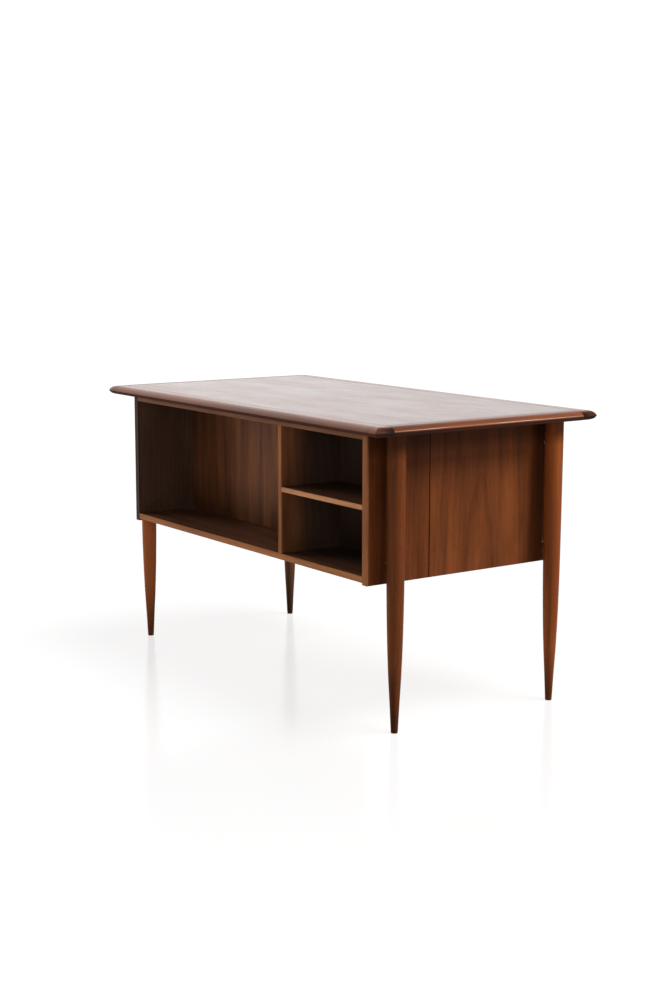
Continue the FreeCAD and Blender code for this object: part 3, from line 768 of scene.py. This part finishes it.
class DESK_OT_turn_legs(bpy.types.Operator):
    """Turns the four tapered legs in solid walnut"""

    bl_idname = "desk.turn_legs"
    bl_label = "Turn the Legs"

    def execute(self, context):
        tints = context.scene.desk_colours
        sizes = context.scene.desk_sizes
        solid = (tints.solid_light, tints.solid_mid, tints.walnut_dark)
        for node in LEGS:
            # Each leg's painted light and shade multiplies its walnut tones.
            lighting = LEG_LIGHTING[node] + (1.0,)
            tones = [tuple(channel * share for channel, share in zip(tone, lighting)) for tone in solid]
            low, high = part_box(node)
            darkened_foot = Zone("Z", low.z, low.z + sizes.foot_darkening, sizes.darkening_fade, tints.foot_darkening)
            overhang_shadow = Zone("Z", high.z - sizes.shadow_reach, high.z, sizes.shadow_reach, tints.painted_shadow)

            # Oiled solid walnut, turned: fine upright lines and a soft sheen, darker towards the foot, with
            # painted shade at the top under the desk top.
            walnut = wood(
                "solid_walnut_" + node, tones, SIDE_UPRIGHT,
                Cut(heart=(60 * MM, 480 * MM, 0), lean=math.radians(0.9), ring=14 * MM),
                SOLID_FIGURE, OILED, shades=[darkened_foot, overhang_shadow],
            )
            foot = sizes.leg_foot / 2
            growth = (high.x - low.x) / 2 - foot
            tall = high.z - low.z
            line = smooth_line([
                Vector((foot + growth * wide_share, 0, tall * height_share))
                for height_share, wide_share in LEG_OUTLINE_SHARES
            ])
            outline = [Vector((0, 0, line[0].z))] + line + [Vector((0, 0, line[-1].z))]
            middle = (low + high) / 2
            leg = turned(
                "turned_" + node, outline, Vector((middle.x, middle.y, low.z)), Vector((0, 0, 1)),
                sizes.lathe_steps, eased=(1, sizes.leg_ease),
            )
            leg.data.materials.append(walnut)
            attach(leg, DESK)
            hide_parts(node)
        return {"FINISHED"}


class DESK_OT_finish_drawers(bpy.types.Operator):
    """Finishes drawer fronts, boxes, bottoms and runners"""

    bl_idname = "desk.finish_drawers"
    bl_label = "Finish the Drawers"

    def execute(self, context):
        tints = context.scene.desk_colours
        tones = (tints.walnut_light, tints.walnut_mid, tints.walnut_dark)
        oak_tones = (tints.oak_light, tints.oak_light, tints.oak_dark)
        beech_tones = (tints.beech_light, tints.beech_light, tints.beech_dark)
        face = -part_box(DRAWERS[0] + "_front")[0].y

        # Oiled walnut veneer: one log's lines run across all the fronts, with little shine.
        fronts = wood(
            "walnut_veneer_front", tones, FRONT_LENGTHWAYS,
            Cut(heart=(540 * MM, face - 60 * MM, -0.5), lean=math.radians(1.6), ring=10 * MM),
            VENEER_FIGURE, OILED,
        )
        paint([drawer + "_front" for drawer in DRAWERS], fronts)

        # Bare oak: pale, with strong narrow rings and open pores, and no shine.
        sides = wood(
            "oak_drawer_side", oak_tones, SIDE_DEEPWAYS,
            Cut(heart=(480 * MM, 200 * MM, 0), lean=math.radians(0.8), ring=5 * MM), OAK_FIGURE, BARE,
        )
        paint([drawer + "_sides" for drawer in DRAWERS], sides)

        # The same oak across the back of the drawer.
        backs = wood(
            "oak_drawer_back", oak_tones, FRONT_LENGTHWAYS,
            Cut(heart=(480 * MM, 40 * MM, 0), lean=math.radians(0.8), ring=5 * MM), OAK_FIGURE, BARE,
        )
        paint([drawer + "_back" for drawer in DRAWERS], backs)

        # Bare beech plywood: pale and even, with broad faint figure from the peeled log.
        bottoms = wood(
            "beech_plywood_bottom", beech_tones, FLAT_LENGTHWAYS,
            Cut(heart=(0, 0, 0), lean=math.radians(1.0), ring=14 * MM), BEECH_FIGURE, BARE,
        )
        paint([drawer + "_bottom" for drawer in DRAWERS], bottoms)

        # Bare beech: pale and even, with close lines and small flecks.
        runners = wood(
            "beech_runner", beech_tones, FLAT_DEEPWAYS,
            Cut(heart=(0, 150 * MM, 0), lean=math.radians(0.5), ring=5 * MM), BEECH_FIGURE, BARE,
        )
        paint(["drawer_runners"], runners)
        return {"FINISHED"}


class DESK_OT_turn_knobs(bpy.types.Operator):
    """Turns a walnut knob for every drawer"""

    bl_idname = "desk.turn_knobs"
    bl_label = "Turn the Knobs"

    def execute(self, context):
        tints = context.scene.desk_colours
        sizes = context.scene.desk_sizes
        solid = (tints.solid_light, tints.solid_mid, tints.walnut_dark)

        # Oiled solid walnut, turned: close rings on a soft sheen.
        walnut = wood(
            "solid_walnut_knob", solid, FLAT_DEEPWAYS,
            Cut(heart=(30 * MM, 20 * MM, 0), lean=math.radians(2), ring=3 * MM), SOLID_FIGURE, OILED,
        )
        for drawer in DRAWERS:
            node = drawer + "_knob"
            low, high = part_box(node)
            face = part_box(drawer + "_front")[0].y
            rim = (high.x - low.x) / 2
            reach = face - low.y
            neck = sizes.knob_neck / 2
            along_share, wide_share = KNOB_FLARE_SHARES
            line = smooth_line([
                Vector((neck, 0, 0)),
                Vector((neck + wide_share * (rim - neck), 0, along_share * reach)),
                Vector((rim, 0, KNOB_RIM_SHARE * reach)),
            ])
            turns = [place * math.pi / 2 / DOME_STEPS for place in range(1, DOME_STEPS)]
            rise = 1 - KNOB_RIM_SHARE
            dome = [
                Vector((rim * math.cos(turn), 0, reach * (KNOB_RIM_SHARE + rise * math.sin(turn))))
                for turn in turns
            ]
            outline = [Vector((0, 0, 0))] + line + dome + [Vector((0, 0, reach))]
            middle = (low + high) / 2
            knob = turned(
                "turned_" + node, outline, Vector((middle.x, face, middle.z)), Vector((0, -1, 0)),
                sizes.lathe_steps, eased=(len(line), sizes.knob_ease),
            )
            knob.data.materials.append(walnut)
            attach(knob, drawer)
            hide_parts(node)
        return {"FINISHED"}


class DESK_OT_fit_fasteners(bpy.types.Operator):
    """Finishes the brass spacers and pins and the steel bolts and screws"""

    bl_idname = "desk.fit_fasteners"
    bl_label = "Fit the Fasteners"

    def execute(self, context):
        tints = context.scene.desk_colours

        # Turned brass, aged: a pale straw yellow with brown patches that mirrors little.
        brass = metal(
            "aged_brass", tints.brass, tints.tarnish, patch=6 * MM, smooth=0.30, dull=0.50, bareness=0.5,
        )
        paint(["leg_spacers", "shelf_pins"], brass)

        # Browned steel: a dark warm brown with a weak, blurred shine.
        steel = metal(
            "browned_steel", tints.steel, tints.tarnish, patch=4 * MM, smooth=0.40, dull=0.60, bareness=0.4,
        )
        paint(["leg_bolts", "top_screws"], steel)
        return {"FINISHED"}


class DESK_OT_set_stage(bpy.types.Operator):
    """Lays the pale floor and sets the lights, the backdrop and the camera"""

    bl_idname = "desk.set_stage"
    bl_label = "Set the Stage"

    def execute(self, context):
        scene = context.scene
        scene.view_settings.view_transform = "Standard"
        self.lay_floor(scene)
        self.hang_backdrop(scene)
        self.set_lights(scene)
        self.set_camera(scene)
        return {"FINISHED"}

    def lay_floor(self, scene):
        """A wide floor that is white to the eye and keeps the desk's shadow."""
        stage = scene.desk_stage
        mesh = bpy.data.meshes.new("studio_floor")
        shape = bmesh.new()
        bmesh.ops.create_grid(shape, x_segments=1, y_segments=1, size=stage.floor_reach)
        shape.to_mesh(mesh)
        shape.free()
        floor = bpy.data.objects.new("studio_floor", mesh)
        scene.collection.objects.link(floor)

        # White floor paint: matt and even, with a faint blurred mirror image at the feet.
        material, tree = new_material("white_floor_paint")
        place = add(tree, "ShaderNodeTexCoord")
        lit_side = add(tree, "ShaderNodeVectorMath", {
            0: place.outputs["Object"], 1: BRIGHT_SIDE,
        }, operation="DOT_PRODUCT")
        mirrored = add(tree, "ShaderNodeMapRange", {
            "Value": lit_side.outputs["Value"],
            "From Min": BRIGHT_FLOOR_SPAN.start, "From Max": BRIGHT_FLOOR_SPAN.full,
            "To Min": DIM_SHARE * stage.floor_lift, "To Max": stage.floor_lift,
        })
        path = add(tree, "ShaderNodeLightPath")
        gleam = add(tree, "ShaderNodeMath", {
            0: path.outputs["Is Glossy Ray"], 1: path.outputs["Is Transmission Ray"],
        }, operation="MAXIMUM")
        gleam_lift = add(tree, "ShaderNodeMath", {0: gleam, 1: mirrored}, operation="MULTIPLY")
        seen_lift = add(tree, "ShaderNodeMath", {
            0: path.outputs["Is Camera Ray"], 1: stage.floor_lift, 2: gleam_lift,
        }, operation="MULTIPLY_ADD")
        lift = add(tree, "ShaderNodeMath", {
            0: path.outputs["Is Diffuse Ray"], 1: stage.floor_bounce, 2: seen_lift,
        }, operation="MULTIPLY_ADD")
        matt = add(tree, "ShaderNodeBsdfDiffuse", {"Color": scene.desk_colours.floor})
        glow = add(tree, "ShaderNodeEmission", {"Strength": lift})
        body = add(tree, "ShaderNodeAddShader", {0: matt, 1: glow})
        gloss = add(tree, "ShaderNodeBsdfGlossy", {"Roughness": FLOOR_ROUGHNESS})
        grazing = add(tree, "ShaderNodeFresnel", {"IOR": FLOOR_IOR})
        away = add(tree, "ShaderNodeVectorMath", {0: place.outputs["Object"]}, operation="LENGTH")
        near = add(tree, "ShaderNodeMapRange", {
            "Value": away.outputs["Value"], "From Min": MIRROR_SPAN.start, "From Max": MIRROR_SPAN.full,
            "To Min": MIRROR_SHARE, "To Max": 0.0,
        })
        share = add(tree, "ShaderNodeMath", {0: grazing, 1: near}, operation="MULTIPLY")
        surface = add(tree, "ShaderNodeMixShader", {0: share, 1: body, 2: gloss})
        add(tree, "ShaderNodeOutputMaterial", {"Surface": surface})
        material.cycles.emission_sampling = "NONE"
        mesh.materials.append(material)

    def hang_backdrop(self, scene):
        """A backdrop that is white to the eye and mirrors as a room with one bright side."""
        world = bpy.data.worlds.new("white_studio")
        world.use_nodes = True
        tree = world.node_tree
        tree.nodes.clear()
        place = add(tree, "ShaderNodeTexCoord")
        lit_side = add(tree, "ShaderNodeVectorMath", {
            0: place.outputs["Generated"], 1: BRIGHT_SIDE,
        }, operation="DOT_PRODUCT")
        mirrored = add(tree, "ShaderNodeMapRange", {
            "Value": lit_side.outputs["Value"],
            "From Min": BRIGHT_BACKDROP_SPAN.start, "From Max": BRIGHT_BACKDROP_SPAN.full,
            "To Min": DIM_SHARE, "To Max": 1.0,
        })
        path = add(tree, "ShaderNodeLightPath")
        straight = path.outputs["Is Camera Ray"]
        seen = add(tree, "ShaderNodeMath", {0: straight, 1: mirrored}, operation="MAXIMUM")
        gleam = add(tree, "ShaderNodeMath", {
            0: path.outputs["Is Glossy Ray"], 1: path.outputs["Is Transmission Ray"],
        }, operation="MAXIMUM")
        shown = add(tree, "ShaderNodeMath", {0: straight, 1: gleam}, operation="MAXIMUM")
        ambient = add(tree, "ShaderNodeBackground", {"Color": WHITE, "Strength": scene.desk_stage.ambient})
        white = add(tree, "ShaderNodeBackground", {"Color": WHITE, "Strength": seen})
        mix = add(tree, "ShaderNodeMixShader", {0: shown, 1: ambient, 2: white})
        add(tree, "ShaderNodeOutputWorld", {"Surface": mix})
        scene.world = world

    def set_lights(self, scene):
        """Soft lamps on both ends, before the bookcase and above, which don't show as spots in the gloss."""
        for name, lamp in LAMPS.items():
            data = bpy.data.lights.new(name + "_softbox", "SUN")
            data.energy = getattr(scene.desk_stage, name + "_strength")
            data.angle = lamp.spread
            softbox = bpy.data.objects.new(name + "_softbox", data)
            softbox.rotation_euler = lamp.towards.to_track_quat("Z", "Y").to_euler()
            softbox.visible_glossy = False
            scene.collection.objects.link(softbox)
            if not lamp.lights_floor:
                spared = bpy.data.collections.new(name + "_softbox_spares")
                spared.objects.link(bpy.data.objects["studio_floor"])
                spared.collection_objects[0].light_linking.link_state = "EXCLUDE"
                softbox.light_linking.receiver_collection = spared

    def set_camera(self, scene):
        """A camera behind the desk's left end, a little above its top."""
        stage = scene.desk_stage
        data = bpy.data.cameras.new("camera")
        data.lens = stage.camera_lens
        camera = bpy.data.objects.new("camera", data)
        heading = Matrix.Rotation(stage.camera_heading, 4, "Z")
        tilt = Matrix.Rotation(stage.camera_tilt, 4, "X")
        roll = Matrix.Rotation(stage.camera_roll, 4, "Z")
        camera.matrix_world = Matrix.Translation(stage.camera_place) @ heading @ tilt @ roll
        scene.collection.objects.link(camera)
        scene.camera = camera


class DESK_PT_finish(bpy.types.Panel):
    """Lists the steps that dress the desk, with its sizes and colours"""

    bl_idname = "DESK_PT_finish"
    bl_label = "Writing Desk"
    bl_space_type = "VIEW_3D"
    bl_region_type = "UI"
    bl_category = "Desk"

    def draw(self, context):
        layout = self.layout
        for step in STEPS:
            layout.operator(step.bl_idname)
        for group in (context.scene.desk_sizes, context.scene.desk_colours, context.scene.desk_stage):
            box = layout.box()
            for name in group.__annotations__:
                box.prop(group, name)


STEPS = (
    DESK_OT_finish_top, DESK_OT_finish_carcass, DESK_OT_turn_legs, DESK_OT_finish_drawers,
    DESK_OT_turn_knobs, DESK_OT_fit_fasteners, DESK_OT_set_stage,
)
CLASSES = (DeskSizes, DeskColours, DeskStage) + STEPS + (DESK_PT_finish,)


def register():
    """Registers the classes and hangs the settings on the scene."""
    for cls in CLASSES:
        bpy.utils.register_class(cls)
    bpy.types.Scene.desk_sizes = PointerProperty(type=DeskSizes)
    bpy.types.Scene.desk_colours = PointerProperty(type=DeskColours)
    bpy.types.Scene.desk_stage = PointerProperty(type=DeskStage)


def unregister():
    """Takes the settings off the scene and the classes out again."""
    del bpy.types.Scene.desk_stage
    del bpy.types.Scene.desk_colours
    del bpy.types.Scene.desk_sizes
    for cls in reversed(CLASSES):
        bpy.utils.unregister_class(cls)


def main():
    """Runs every step in order."""
    register()
    bpy.ops.desk.finish_top()
    bpy.ops.desk.finish_carcass()
    bpy.ops.desk.turn_legs()
    bpy.ops.desk.finish_drawers()
    bpy.ops.desk.turn_knobs()
    bpy.ops.desk.fit_fasteners()
    bpy.ops.desk.set_stage()


if __name__ == "__main__":
    main()
